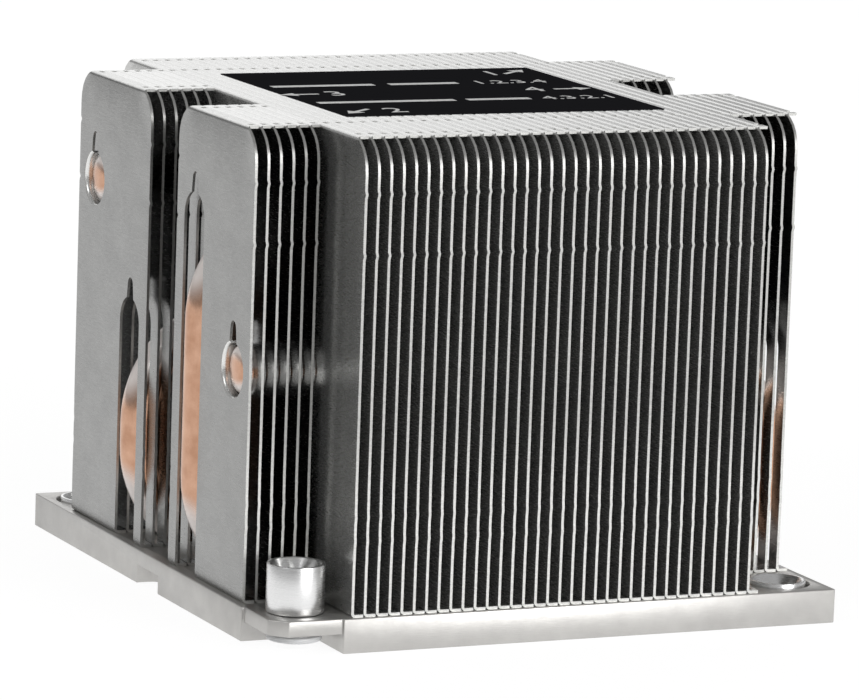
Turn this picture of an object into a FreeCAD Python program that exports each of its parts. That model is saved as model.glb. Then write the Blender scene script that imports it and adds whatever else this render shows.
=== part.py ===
import FreeCAD, Part
import math
import os
import Sketcher

# A passive cooler for a server processor, which the chassis fans blow through along Y.
# A machined base plate carries 46 columns of zipped sheet fins and four bent heat pipes.
# The full-length fins stand in the middle. Each side has six shorter columns, split into a
# front and a rear block, so that the corners stay open for the driver of the captive nuts.
# Millimetres, +Z up. The origin is the middle of the underside of the base plate.

os.makedirs("parts", exist_ok=True)
doc = FreeCAD.newDocument("ServerCooler")

sizes = {
    # base plate
    "baseWidth": 78,
    "baseDepth": 84,
    "baseThick": 4.4,
    "tabThick": 2.0,
    "tabChamfer": 2.0,
    "tabInset": 0.4,
    "recessRound": 1.5,
    "sideCutWidth": 7.2,
    "sideCutDepth": 3.0,
    "sideCutRound": 1.2,
    # fins
    "finHeight": 59.5,
    "finCount": 46,
    "sideColumns": 6,
    "packMargin": 0.82,
    "finSetback": 0.6,
    "sheetThick": 0.35,
    "flangeGap": 0.08,
    "finRound": 4.3,
    "midNotchWidth": 9.8,
    "driverRoom": 2.3,
    # openings round the heat pipes
    "slotWidth": 6.8,
    "slitWidth": 1.9,
    "slitLength": 2.7,
    "tipHole": 7.2,
    "pipeClear": 0.05,
    # heat pipes
    "pipeDiameter": 6.0,
    "bendRadius": 13.0,
    "highLeg": 50.0,
    "lowLeg": 33.0,
    "innerPipes": 10.8,
    "outerPipeInset": 5.55,
    "pipeProud": 0.7,
    "tipRecess": 0.5,
    "tipTaper": 1.1,
    "flatWidth": 7.4,
    "flatThick": 3.6,
    "flatRound": 1.6,
    "flattenRun": 4.0,
    "footOverrun": 26.0,
    "grooveClear": 0.05,
    # captive nuts and their retaining rings
    "headDiameter": 7.3,
    "tallHead": 6.2,
    "lowHead": 2.7,
    "sinkDiameter": 6.5,
    "sinkDepth": 1.4,
    "threadBore": 3.4,
    "socketDiameter": 4.6,
    "socketInner": 3.5,
    "tallSocket": 3.4,
    "lowSocket": 1.9,
    "shankDiameter": 5.0,
    "ringGrooveDiameter": 4.3,
    "holeClear": 0.4,
    "ringDiameter": 7.0,
    "ringThick": 0.7,
    "ringFit": 0.04,
    "seatGap": 0.05,
    "tallFloat": 0.65,
    "lowFloat": 0.3,
    "shankEnd": 0.25,
    "groundClear": 0.1,
    "insetY": 5.8,
    "recessClear": 0.7,
    "nutPocketDiameter": 8.4,
    "nutPocketDepth": 2.3,
    # label
    "labelWidth": 44.4,
    "labelDepth": 42.4,
    "labelThick": 0.1,
}

sheet = doc.addObject("Spreadsheet::Sheet", "Sizes")
for row, (alias, number) in enumerate(sizes.items(), start=1):
    sheet.set(f"A{row}", alias)
    sheet.set(f"B{row}", str(number))
    sheet.setAlias(f"B{row}", alias)
doc.recompute()


class Size:
    """A number together with the sheet expression that gives it."""

    def __init__(self, value, text):
        self.value = value
        self.text = text

    def __add__(self, other):
        other = sizeOf(other)
        return Size(self.value + other.value, f"({self.text} + {other.text})")

    def __sub__(self, other):
        other = sizeOf(other)
        return Size(self.value - other.value, f"({self.text} - {other.text})")

    def __mul__(self, other):
        other = sizeOf(other)
        return Size(self.value * other.value, f"({self.text} * {other.text})")

    def __truediv__(self, other):
        other = sizeOf(other)
        return Size(self.value / other.value, f"({self.text} / {other.text})")

    def __neg__(self):
        return Size(-self.value, f"(0 - {self.text})")


def sizeOf(number):
    return number if isinstance(number, Size) else Size(number, repr(number))


def cell(alias):
    return Size(float(sheet.get(alias)), f"Sizes.{alias}")


def squareRoot(size):
    return Size(math.sqrt(size.value), f"sqrt({size.text})")


def bind(item, prop, size):
    item.setExpression(prop, sizeOf(size).text)


# Sizes that follow from the driving ones
halfWidth = cell("baseWidth") / 2
halfDepth = cell("baseDepth") / 2
baseTop = cell("baseThick")
finTop = baseTop + cell("finHeight")
finPitch = (cell("baseWidth") - cell("packMargin") * 2) / cell("finCount")
packLeft = -halfWidth + cell("packMargin")
flangeWidth = finPitch - cell("flangeGap")
finHalfLength = halfDepth - cell("finSetback")
midNotch = cell("midNotchWidth") / 2
blockEnd = halfDepth - cell("insetY") - cell("headDiameter") / 2 - cell("driverRoom")
blockLength = blockEnd - midNotch
blockMiddle = (blockEnd + midNotch) / 2
outerPipes = blockEnd - cell("outerPipeInset")

pipeRadius = cell("pipeDiameter") / 2
bend = cell("bendRadius")
bendX = halfWidth - cell("packMargin") + cell("pipeProud") - pipeRadius
bendEnd = bendX - bend
flatEnd = bendEnd - cell("flattenRun")
grooveFloor = baseTop - cell("flatThick")
footHeight = grooveFloor + pipeRadius
tipX = halfWidth - cell("packMargin") - cell("tipRecess")

nutX = halfWidth - (cell("packMargin") + finPitch * cell("sideColumns")) / 2
nutY = halfDepth - cell("insetY")
ringRadius = cell("ringDiameter") / 2
recessX = nutX - ringRadius - cell("recessClear")
recessY = nutY - ringRadius - cell("recessClear")
tabBottom = baseTop - cell("tabThick")
pocketFloor = baseTop - cell("nutPocketDepth")
webBottom = (cell("groundClear") + cell("shankEnd") + cell("ringThick") + cell("ringFit")
             + cell("seatGap") + cell("lowFloat"))


def addBody(name):
    body = doc.addObject("PartDesign::Body", name)
    body.Label = name
    return body


def place(item, x=None, y=None, z=None):
    for axis, size in (("x", x), ("y", y), ("z", z)):
        if size is not None:
            bind(item, f"Placement.Base.{axis}", size)


def addSketch(body, plane, offset=None):
    sketch = body.newObject("Sketcher::SketchObject", f"{body.Name}_sketch")
    support = next(item for item in body.Origin.OriginFeatures if item.Role == plane)
    sketch.AttachmentSupport = [(support, "")]
    sketch.MapMode = "FlatFace"
    if offset is not None:
        bind(sketch, "AttachmentOffset.Base.z", offset)
    return sketch


def arcBetween(start, end, radius):
    """The arc from start to end. It turns left for a positive radius, right for a negative one."""
    chord = end - start
    middle = (start + end) / 2
    rise = math.sqrt(max(radius**2 - (chord.Length / 2) ** 2, 0))
    left = FreeCAD.Vector(-chord.y, chord.x, 0) / chord.Length
    centre = middle + left * math.copysign(rise, radius)
    if radius < 0:
        start, end = end, start
    first = math.atan2(start.y - centre.y, start.x - centre.x)
    last = math.atan2(end.y - centre.y, end.x - centre.x)
    if last < first:
        last += 2 * math.pi
    circle = Part.Circle(centre, FreeCAD.Vector(0, 0, 1), abs(radius))
    return Part.ArcOfCircle(circle, first, last)


def addWire(sketch, corners, closed=True):
    """Lines and arcs through corners of (x, y) or (x, y, radius of the arc to the next corner)."""
    points = [FreeCAD.Vector(sizeOf(c[0]).value, sizeOf(c[1]).value, 0) for c in corners]
    base = sketch.GeometryCount
    count = len(corners) if closed else len(corners) - 1
    ends = []
    for index in range(count):
        start = points[index]
        end = points[(index + 1) % len(points)]
        if len(corners[index]) == 2:
            sketch.addGeometry(Part.LineSegment(start, end))
            ends.append((1, 2))
        else:
            radius = corners[index][2].value
            sketch.addGeometry(arcBetween(start, end, radius))
            ends.append((1, 2) if radius > 0 else (2, 1))
    for index in range(count):
        following = (index + 1) % count
        if closed or following:
            joint = Sketcher.Constraint(
                "Coincident", base + index, ends[index][1], base + following, ends[following][0]
            )
            sketch.addConstraint(joint)
        pinPoint(sketch, base + index, ends[index][0], corners[index], points[index])
        if len(corners[index]) == 3:
            pinRadius(sketch, base + index, corners[index][2])
    if not closed:
        pinPoint(sketch, base + count - 1, ends[-1][1], corners[-1], points[-1])


def pinPoint(sketch, geometry, end, corner, point):
    for kind, size, start in (("DistanceX", corner[0], point.x), ("DistanceY", corner[1], point.y)):
        index = sketch.addConstraint(Sketcher.Constraint(kind, -1, 1, geometry, end, start))
        bind(sketch, f"Constraints[{index}]", size)


def pinRadius(sketch, geometry, radius):
    index = sketch.addConstraint(Sketcher.Constraint("Radius", geometry, abs(radius.value)))
    bind(sketch, f"Constraints[{index}]", radius if radius.value > 0 else -radius)


def addCircle(sketch, x, y, radius):
    centre = FreeCAD.Vector(sizeOf(x).value, sizeOf(y).value, 0)
    index = sketch.addGeometry(Part.Circle(centre, FreeCAD.Vector(0, 0, 1), radius.value))
    pinPoint(sketch, index, 3, (x, y), centre)
    pinRadius(sketch, index, radius)


def rectangle(left, right, low, high):
    return [(left, low), (right, low), (right, high), (left, high)]


def addPad(body, sketch, length, both=False):
    pad = body.newObject("PartDesign::Pad", f"{body.Name}_pad")
    pad.Profile = sketch
    pad.Midplane = both
    bind(pad, "Length", length)
    return pad


def addPocket(body, sketch, depth=None, upward=False):
    """A cut to a depth from the sketch, or through everything on both sides of it."""
    pocket = body.newObject("PartDesign::Pocket", f"{body.Name}_pocket")
    pocket.Profile = sketch
    if depth is None:
        pocket.Type = "ThroughAll"
        pocket.Midplane = True
    else:
        pocket.Reversed = upward
        bind(pocket, "Length", depth)
    return pocket


def basePlate():
    body = addBody("base_plate")
    outline = addSketch(body, "XY_Plane")
    cut = cell("tabChamfer")
    inset = cell("tabInset")
    addWire(outline, [
        (-recessX, -halfDepth),
        (halfWidth, -halfDepth),
        (halfWidth, recessY),
        (halfWidth - inset, recessY),
        (halfWidth - inset, halfDepth - inset - cut),
        (halfWidth - inset - cut, halfDepth - inset),
        (recessX, halfDepth - inset),
        (recessX, halfDepth),
        (-halfWidth, halfDepth),
        (-halfWidth, -recessY),
        (inset - halfWidth, -recessY),
        (inset - halfWidth, inset + cut - halfDepth),
        (inset + cut - halfWidth, inset - halfDepth),
        (-recessX, inset - halfDepth),
    ])
    addPad(body, outline, baseTop)

    # Under two opposite corners the plate is thinned to a tab, and both sides have a cut-out.
    under = addSketch(body, "XY_Plane")
    inner = cell("recessRound")
    sideX = halfWidth - cell("sideCutDepth")
    sideY = cell("sideCutWidth") / 2
    turn = cell("sideCutRound")
    for way in (1, -1):
        addWire(under, [
            (halfWidth * way, recessY * way),
            (halfWidth * way, halfDepth * way),
            (recessX * way, halfDepth * way),
            (recessX * way, (recessY + inner) * way, inner),
            ((recessX + inner) * way, recessY * way),
        ])
        addWire(under, [
            (halfWidth * way, -sideY * way),
            (halfWidth * way, sideY * way),
            ((sideX + turn) * way, sideY * way, turn),
            (sideX * way, (sideY - turn) * way),
            (sideX * way, (turn - sideY) * way, turn),
            ((sideX + turn) * way, -sideY * way),
        ])
    addPocket(body, under, tabBottom, upward=True)

    # Grooves that the flattened feet of the heat pipes lie in, flush with the top
    grooves = addSketch(body, "XY_Plane", baseTop)
    half = cell("flatWidth") / 2 + cell("grooveClear")
    end = cell("footOverrun") + cell("grooveClear")
    drop = bend - (baseTop - footHeight)
    rise = bend + pipeRadius + cell("grooveClear")
    start = bendEnd + squareRoot(rise * rise - drop * drop)
    for y, way in ((-cell("innerPipes"), -1), (cell("innerPipes"), -1),
                   (-outerPipes, 1), (outerPipes, 1)):
        addWire(grooves, rectangle(-end * way, start * way, y - half, y + half))
    addPocket(body, grooves, cell("flatThick"))

    holes = addSketch(body, "XY_Plane")
    holeRadius = (cell("shankDiameter") + cell("holeClear")) / 2
    for x in (-nutX, nutX):
        for y in (-nutY, nutY):
            addCircle(holes, x, y, holeRadius)
    addPocket(body, holes)

    seats = addSketch(body, "XY_Plane", baseTop)
    rests = addSketch(body, "XY_Plane")
    for way in (1, -1):
        addCircle(seats, nutX * way, -nutY * way, cell("nutPocketDiameter") / 2)
        addCircle(rests, nutX * way, -nutY * way, cell("nutPocketDiameter") / 2)
    addPocket(body, seats, cell("nutPocketDepth"))
    addPocket(body, rests, webBottom, upward=True)
    return body


def ringOf(quarter, level):
    """Sixteen corners round a tube from the five of its first quarter, from the right side on."""
    right = quarter
    left = [(-y, z) for y, z in reversed(quarter[:-1])]
    upper = right + left
    lower = [(-y, -z) for y, z in upper[1:-1]]
    return [(y, level + z) for y, z in upper[:-1] + [upper[-1]] + lower]


def roundQuarter():
    """A quarter of the round tube, which is drawn with sixteen flats to keep the part light."""
    corners = []
    for step in range(5):
        angle = math.radians(90 * step / 4)
        corners.append((pipeRadius * math.cos(angle), pipeRadius * math.sin(angle)))
    return corners


def flatQuarter():
    """The same quarter where the tube is pressed flat: half a side, a round corner, half a top."""
    across = cell("flatWidth") / 2
    up = cell("flatThick") / 2
    corner = cell("flatRound")
    turned = [(across - corner * (1 - math.cos(angle)), up - corner * (1 - math.sin(angle)))
              for angle in (math.radians(25), math.radians(60))]
    return [(across, sizeOf(0)), *turned, (across - corner, up), (sizeOf(0), up)]


# Each pipe: its name, its place along Y, the height of its upper leg and the side of its bend
pipes = [
    ("heat_pipe_front_high", -cell("innerPipes"), cell("highLeg"), -1),
    ("heat_pipe_rear_low", cell("innerPipes"), cell("lowLeg"), -1),
    ("heat_pipe_front_low", -outerPipes, cell("lowLeg"), 1),
    ("heat_pipe_rear_high", outerPipes, cell("highLeg"), 1),
]


def heatPipe(name, y, height, side):
    """Drawn with its bend on the left, and turned half round where the bend is on the right."""
    body = addBody(name)
    path = addSketch(body, "XZ_Plane")
    addWire(path, [
        (tipX, height),
        (-bendEnd, height, bend),
        (-bendX, height - bend),
        (-bendX, footHeight + bend, bend),
        (-bendEnd, footHeight),
    ], closed=False)
    section = addSketch(body, "YZ_Plane", tipX)
    addWire(section, ringOf(roundQuarter(), height))
    tube = body.newObject("PartDesign::AdditivePipe", f"{name}_tube")
    tube.Profile = section
    tube.Spine = (path, [f"Edge{index + 1}" for index in range(path.GeometryCount)])
    doc.recompute()

    # The foot is pressed from round to flat, and lies in its groove.
    start = addSketch(body, "YZ_Plane", -bendEnd)
    addWire(start, ringOf(roundQuarter(), footHeight))
    pressed = addSketch(body, "YZ_Plane", -flatEnd)
    foot = addSketch(body, "YZ_Plane", -flatEnd)
    middle = grooveFloor + cell("flatThick") / 2
    for sketch in (pressed, foot):
        addWire(sketch, ringOf(flatQuarter(), middle))
    loft = body.newObject("PartDesign::AdditiveLoft", f"{name}_press")
    loft.Profile = start
    loft.Sections = [pressed]
    loft.Ruled = True
    addPad(body, foot, flatEnd + cell("footOverrun"))
    doc.recompute()

    before = body.Tip
    end = before.Shape.BoundBox.XMax
    edges = [f"Edge{index}" for index, edge in enumerate(before.Shape.Edges, start=1)
             if abs(edge.BoundBox.XMin - end) < 0.001]
    closed = body.newObject("PartDesign::Chamfer", f"{name}_tip")
    closed.Base = (before, edges)
    bind(closed, "Size", cell("tipTaper"))
    if side > 0:
        body.Placement.Rotation = FreeCAD.Rotation(FreeCAD.Vector(0, 0, 1), 180)
    place(body, y=y)
    return body


def fin(name, column, length, middle, openings, fineEdges=False):
    """A folded sheet: an upright web with a flange at its foot and top that reaches to the next fin.

    An opening is (kind, y, height): a slot is open below, a hole or a tip is round a pipe's
    upper leg, and a foot clears the pressed part of a pipe on the base.
    """
    body = addBody(name)
    height = cell("finHeight")
    sheetThick = cell("sheetThick")
    profile = addSketch(body, "XZ_Plane")
    addWire(profile, [
        (0, 0),
        (flangeWidth, 0),
        (flangeWidth, sheetThick),
        (sheetThick, sheetThick),
        (sheetThick, height - sheetThick),
        (flangeWidth, height - sheetThick),
        (flangeWidth, height),
        (0, height),
    ])
    addPad(body, profile, length, both=True)

    cuts = addSketch(body, "YZ_Plane")
    radius = cell("finRound")
    half = length / 2
    addWire(cuts, [(-half, height), (-half, height - radius, -radius), (radius - half, height)])
    addWire(cuts, [(half, height), (half - radius, height, -radius), (half, height - radius)])
    for kind, y, level in openings:
        y = y - middle
        level = level - baseTop
        if kind == "slot":
            addWire(cuts, slotOutline(y, level, fineEdges))
        elif kind == "hole":
            addWire(cuts, holeOutline(y, level))
        elif kind == "foot":
            side = cell("slotWidth") / 2
            addWire(cuts, rectangle(y - side, y + side, 0, footHeight + pipeRadius + cell("pipeClear") - baseTop))
    addPocket(body, cuts)

    tips = [opening for opening in openings if opening[0] == "tip"]
    if tips:
        rounds = addSketch(body, "YZ_Plane")
        slits = addSketch(body, "YZ_Plane")
        for kind, y, level in tips:
            y = y - middle
            level = level - baseTop
            side = cell("slitWidth") / 2
            hole = cell("tipHole") / 2
            addCircle(rounds, y, level, hole)
            addWire(slits, rectangle(y - side, y + side, level, level + hole + cell("slitLength")))
        addPocket(body, rounds)
        addPocket(body, slits)
    place(body, x=packLeft + finPitch * column, y=middle, z=baseTop)
    return body


def slotOutline(y, level, fineEdges):
    """A slot that is open below. On the outermost fins its top is round, with a narrow slit above."""
    side = cell("slotWidth") / 2
    if not fineEdges:
        return [
            (y - side, 0),
            (y + side, 0),
            (y + side, level + side * 0.5),
            (y + side * 0.5, level + side),
            (y - side * 0.5, level + side),
            (y - side, level + side * 0.5),
        ]
    slit = cell("slitWidth") / 2
    shoulder = level + squareRoot(side * side - slit * slit)
    top = level + side + cell("slitLength")
    return [
        (y - side, 0),
        (y + side, 0),
        (y + side, level, side),
        (y + slit, shoulder),
        (y + slit, top),
        (y - slit, top),
        (y - slit, shoulder, side),
        (y - side, level),
    ]


def holeOutline(y, level):
    """Four flats that clear the pipe: the inner fins are plain, to keep the stack light."""
    flat = pipeRadius + cell("pipeClear")
    return rectangle(y - flat, y + flat, level - flat, level + flat)


def openingsAt(column, front, rear):
    """What a fin between two places along Y has to leave open for the pipes that cross its column."""
    found = []
    web = packLeft + finPitch * column
    outermost = column in (0, sizes["finCount"] - 1)
    for name, y, height, side in pipes:
        if not front.value < y.value < rear.value:
            continue
        reach = -web.value if side < 0 else (web + flangeWidth).value
        if reach > bendEnd.value:
            found.append(("slot", y, height))
            continue
        found.append(("tip" if outermost else "hole", y, height))
        if reach > flatEnd.value:
            found.append(("foot", y, height))
    return found


def middleFins():
    """The full-length fins, one node each"""
    fins = []
    first = sizes["sideColumns"]
    for column in range(first, sizes["finCount"] - first):
        openings = openingsAt(column, -finHalfLength, finHalfLength)
        name = f"fin_{column - first + 1:02d}"
        fins.append(fin(name, column, finHalfLength * 2, sizeOf(0), openings))
    return fins


def sideBlock(placeName, columns, way):
    """Short fins in front of or behind the notch of one side: the outermost one, and the rest together"""
    front, rear = (-blockEnd, -midNotch) if way < 0 else (midNotch, blockEnd)
    outer = columns[0] if columns[0] == 0 else columns[-1]
    single = None
    others = []
    for column in columns:
        name = f"outer_fin_{placeName}" if column == outer else f"side_fin_{placeName}_{column}"
        openings = openingsAt(column, front, rear)
        body = fin(name, column, blockLength, blockMiddle * way, openings, fineEdges=column == outer)
        if column == outer:
            single = body
        else:
            others.append(body)
    group = doc.addObject("Part::Compound", f"side_fins_{placeName}")
    group.Label = f"side_fins_{placeName}"
    group.Links = others
    return [single, group]


def captiveNut(name, x, y, seat, headHeight, socketDepth, floatRoom, underside):
    """A turned nut with a wide sunk top, a six-lobed socket and a groove for its retaining ring"""
    body = addBody(name)
    bore = cell("threadBore") / 2
    shank = cell("shankDiameter") / 2
    groove = cell("ringGrooveDiameter") / 2
    head = cell("headDiameter") / 2
    sink = cell("sinkDiameter") / 2
    reach = cell("socketDiameter") / 2
    bottom = seat + cell("seatGap")
    top = bottom + headHeight
    ringTop = underside - floatRoom - cell("seatGap") + cell("ringFit")
    ringBottom = ringTop - cell("ringThick") - cell("ringFit") * 2
    section = addSketch(body, "XZ_Plane")
    addWire(section, [
        (bore, ringBottom - cell("shankEnd")),
        (shank, ringBottom - cell("shankEnd")),
        (shank, ringBottom),
        (groove, ringBottom),
        (groove, ringTop),
        (shank, ringTop),
        (shank, bottom),
        (head, bottom),
        (head, top),
        (sink, top),
        (reach, top - cell("sinkDepth")),
        (bore, top - cell("sinkDepth")),
    ])
    turned = body.newObject("PartDesign::Revolution", f"{name}_turned")
    turned.Profile = section
    turned.ReferenceAxis = (section, ["V_Axis"])
    turned.Angle = 360

    socket = addSketch(body, "XY_Plane", top)
    inner = cell("socketInner") / 2
    corners = []
    for step in range(12):
        angle = math.radians(30 * step + 15)
        radius = reach if step % 2 else inner
        corners.append((radius * math.cos(angle), radius * math.sin(angle)))
    addWire(socket, corners)
    addPocket(body, socket, socketDepth)
    place(body, x=x, y=y)
    return body


def retainingRing(name, x, y, floatRoom, underside):
    """A plastic ring in the nut's groove, which keeps the nut on the cooler"""
    body = addBody(name)
    inner = cell("ringGrooveDiameter") / 2 + cell("ringFit")
    top = underside - floatRoom - cell("seatGap")
    section = addSketch(body, "XZ_Plane")
    addWire(section, rectangle(inner, ringRadius, top - cell("ringThick"), top))
    turned = body.newObject("PartDesign::Revolution", f"{name}_turned")
    turned.Profile = section
    turned.ReferenceAxis = (section, ["V_Axis"])
    turned.Angle = 360
    place(body, x=x, y=y)
    return body


def label():
    item = doc.addObject("Part::Box", "top_label")
    item.Label = "top_label"
    bind(item, "Length", cell("labelWidth"))
    bind(item, "Width", cell("labelDepth"))
    bind(item, "Height", cell("labelThick"))
    place(item, x=-cell("labelWidth") / 2, y=-cell("labelDepth") / 2, z=finTop)
    return item


nodes = [basePlate()]
nodes += [heatPipe(*pipe) for pipe in pipes]
nodes += middleFins()
leftColumns = list(range(sizes["sideColumns"]))
rightColumns = [sizes["finCount"] - 1 - column for column in reversed(leftColumns)]
for sideName, columns in (("left", leftColumns), ("right", rightColumns)):
    nodes += sideBlock(f"front_{sideName}", columns, -1)
    nodes += sideBlock(f"rear_{sideName}", columns, 1)

# The nuts of one diagonal are tall and sit on the tabs, the others are sunk into the plate.
for corner, wayX, wayY in (("front_left", -1, -1), ("rear_right", 1, 1)):
    room = cell("tallFloat")
    nodes.append(captiveNut(f"nut_{corner}", nutX * wayX, nutY * wayY, baseTop,
                            cell("tallHead"), cell("tallSocket"), room, tabBottom))
    nodes.append(retainingRing(f"ring_{corner}", nutX * wayX, nutY * wayY, room, tabBottom))
for corner, wayX, wayY in (("front_right", 1, -1), ("rear_left", -1, 1)):
    room = cell("lowFloat")
    nodes.append(captiveNut(f"nut_{corner}", nutX * wayX, nutY * wayY, pocketFloor,
                            cell("lowHead"), cell("lowSocket"), room, webBottom))
    nodes.append(retainingRing(f"ring_{corner}", nutX * wayX, nutY * wayY, room, webBottom))
nodes.append(label())
doc.recompute()

for item in doc.Objects:
    if "Invalid" in item.State or "Error" in item.State:
        raise SystemExit(f"{item.Name} failed: {item.State}")
for node in nodes:
    if node.Shape.isNull() or not node.Shape.isValid():
        raise SystemExit(f"{node.Label} has no valid shape")
for node in nodes:
    node.Shape.exportStep(f"parts/{node.Label}.step")
print(f"{len(nodes)} parts")
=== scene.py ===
import math

import bmesh
import bpy
from mathutils import Matrix, Vector
from mathutils.geometry import delaunay_2d_cdt


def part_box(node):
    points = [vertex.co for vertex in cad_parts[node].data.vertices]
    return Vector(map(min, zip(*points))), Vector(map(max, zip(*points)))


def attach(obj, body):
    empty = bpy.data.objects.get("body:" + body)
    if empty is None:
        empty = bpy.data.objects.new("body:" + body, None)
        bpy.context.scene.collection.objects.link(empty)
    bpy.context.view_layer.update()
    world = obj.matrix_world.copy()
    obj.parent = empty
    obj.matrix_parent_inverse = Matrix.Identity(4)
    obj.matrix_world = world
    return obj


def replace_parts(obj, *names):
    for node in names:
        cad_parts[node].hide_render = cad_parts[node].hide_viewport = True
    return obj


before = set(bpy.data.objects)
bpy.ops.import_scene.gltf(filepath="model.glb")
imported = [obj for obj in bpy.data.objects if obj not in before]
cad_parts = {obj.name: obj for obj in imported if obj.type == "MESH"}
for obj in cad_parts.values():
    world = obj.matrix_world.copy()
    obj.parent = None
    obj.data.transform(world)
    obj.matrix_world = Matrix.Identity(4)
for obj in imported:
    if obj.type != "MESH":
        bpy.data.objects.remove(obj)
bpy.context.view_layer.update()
mm = 0.001  # the pieces are drawn in millimetres


def boxOf(node):
    # the lowest and the highest corner of a CAD node, in millimetres
    low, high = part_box(node)
    return low / mm, high / mm


def newPiece(name, data):
    piece = bpy.data.objects.new(name, data)
    bpy.context.scene.collection.objects.link(piece)
    return piece


view = {
    "yaw": 24.35,
    "pitch": 9.77,
    "roll": 2.01,
    "distance": 756.8,
    "lens": 242.2,
    "sensor": 36.0,
    "farthest": 20.0,  # metres
    "middle": (0.14, 2.20),  # how far the lens axis passes from the middle of the part, across and up
    "aimHeight": 32.0,
}


def makeCamera():
    yaw, pitch, roll = (math.radians(view[k]) for k in ("yaw", "pitch", "roll"))
    right = Vector((math.cos(yaw), -math.sin(yaw), 0))
    ahead = Vector((math.sin(yaw) * math.cos(pitch), math.cos(yaw) * math.cos(pitch), -math.sin(pitch)))
    up = right.cross(ahead)
    across, above = view["middle"]
    aim = Vector((0, 0, view["aimHeight"])) - right * across - up * above
    turnedRight = right * math.cos(roll) + up * math.sin(roll)
    turnedUp = up * math.cos(roll) - right * math.sin(roll)
    place = (aim - ahead * view["distance"]) * mm
    axes = (turnedRight, turnedUp, -ahead, place)
    camera = newPiece("camera", bpy.data.cameras.new("camera"))
    camera.data.lens = view["lens"]
    camera.data.sensor_width = view["sensor"]
    camera.data.clip_end = view["farthest"]
    camera.matrix_world = Matrix([[axis[row] for axis in axes] for row in range(3)] + [[0, 0, 0, 1]])
    bpy.context.scene.camera = camera


lamps = {  # metres and watts
    "front": {"at": (0.35, -1.0, 0.22), "size": 0.7, "power": 6.6},
    "rear": {"at": (0.15, 1.0, 0.44), "size": 0.8, "power": 1.45},
    "left": {"at": (-0.85, -0.35, 0.75), "size": 0.45, "power": 1.9},
}

studio = {
    "lampAim": (0, 0, 0.03),
    "world": 0.36,
    "floorHalf": 6.0,
    "floorTone": 0.85,
    "floorRough": 0.9,
    "floorGloss": 0.1,
    "floorGlow": 1.14,
    "floorWhite": 0.8,  # share of plain white in what the eye and the metal see of the floor
}


def addLamp(name, at, size, power):
    lamp = bpy.data.lights.new(name, "AREA")
    lamp.shape = "DISK"
    lamp.size = size
    lamp.energy = power
    piece = newPiece(name, lamp)
    piece.location = at
    aim = Vector(studio["lampAim"]) - Vector(at)
    piece.rotation_euler = aim.to_track_quat("-Z", "Y").to_euler()


def mathNode(tree, operation, first, second):
    # first is a socket, second a socket or a number
    node = tree.nodes.new("ShaderNodeMath")
    node.operation = operation
    tree.links.new(first, node.inputs[0])
    if isinstance(second, float):
        node.inputs[1].default_value = second
    else:
        tree.links.new(second, node.inputs[1])
    return node.outputs[0]


def makeStage():
    for name, lamp in lamps.items():
        addLamp(f"{name}_light", **lamp)
    world = bpy.data.worlds.new("studio")
    bpy.context.scene.world = world
    world.use_nodes = True
    shade = world.node_tree.nodes["Background"]
    shade.inputs["Color"].default_value = (1, 1, 1, 1)
    shade.inputs["Strength"].default_value = studio["world"]

    half = studio["floorHalf"]
    floor = bpy.data.meshes.new("floor")
    corners = [(-half, -half, 0), (half, -half, 0), (half, half, 0), (-half, half, 0)]
    floor.from_pydata(corners, [], [(0, 1, 2, 3)])
    material, tree, shader = plainMaterial("pale_floor")
    shader.inputs["Base Color"].default_value = (studio["floorTone"],) * 3 + (1,)
    shader.inputs["Roughness"].default_value = studio["floorRough"]
    shader.inputs["Specular IOR Level"].default_value = studio["floorGloss"]
    path = tree.nodes.new("ShaderNodeLightPath")
    metal = mathNode(tree, "MAXIMUM", path.outputs["Is Glossy Ray"], path.outputs["Is Transmission Ray"])
    seen = mathNode(tree, "MAXIMUM", path.outputs["Is Camera Ray"], metal)
    white = tree.nodes.new("ShaderNodeEmission")
    white.inputs["Strength"].default_value = studio["floorGlow"]
    mix = tree.nodes.new("ShaderNodeMixShader")
    tree.links.new(mathNode(tree, "MULTIPLY", seen, studio["floorWhite"]), mix.inputs[0])
    tree.links.new(shader.outputs[0], mix.inputs[1])
    tree.links.new(white.outputs[0], mix.inputs[2])
    tree.links.new(mix.outputs[0], tree.nodes["Material Output"].inputs["Surface"])
    floor.materials.append(material)
    newPiece("floor", floor)


def plainMaterial(name):
    material = bpy.data.materials.new(name)
    material.use_nodes = True
    return material, material.node_tree, material.node_tree.nodes["Principled BSDF"]


def stretchedNoise(tree, across, along, upwards, detail):
    # noise on Object coordinates. A small scale draws the pattern out along that axis.
    coordinate = tree.nodes.new("ShaderNodeTexCoord")
    mapping = tree.nodes.new("ShaderNodeMapping")
    mapping.inputs["Scale"].default_value = (across, along, upwards)
    noise = tree.nodes.new("ShaderNodeTexNoise")
    noise.inputs["Scale"].default_value = 1.0
    noise.inputs["Detail"].default_value = detail
    tree.links.new(coordinate.outputs["Object"], mapping.inputs["Vector"])
    tree.links.new(mapping.outputs["Vector"], noise.inputs["Vector"])
    return noise.outputs["Fac"]


def mapRange(tree, value, source, target, kind="LINEAR"):
    node = tree.nodes.new("ShaderNodeMapRange")
    node.interpolation_type = kind
    for name, number in zip(("From Min", "From Max", "To Min", "To Max"), (*source, *target)):
        node.inputs[name].default_value = number
    tree.links.new(value, node.inputs["Value"])
    return node.outputs["Result"]


def spread(tree, noise, low, high):
    # noise is mostly between 0.3 and 0.7, which becomes low and high
    return mapRange(tree, noise, (0.3, 0.7), (low, high))


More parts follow.
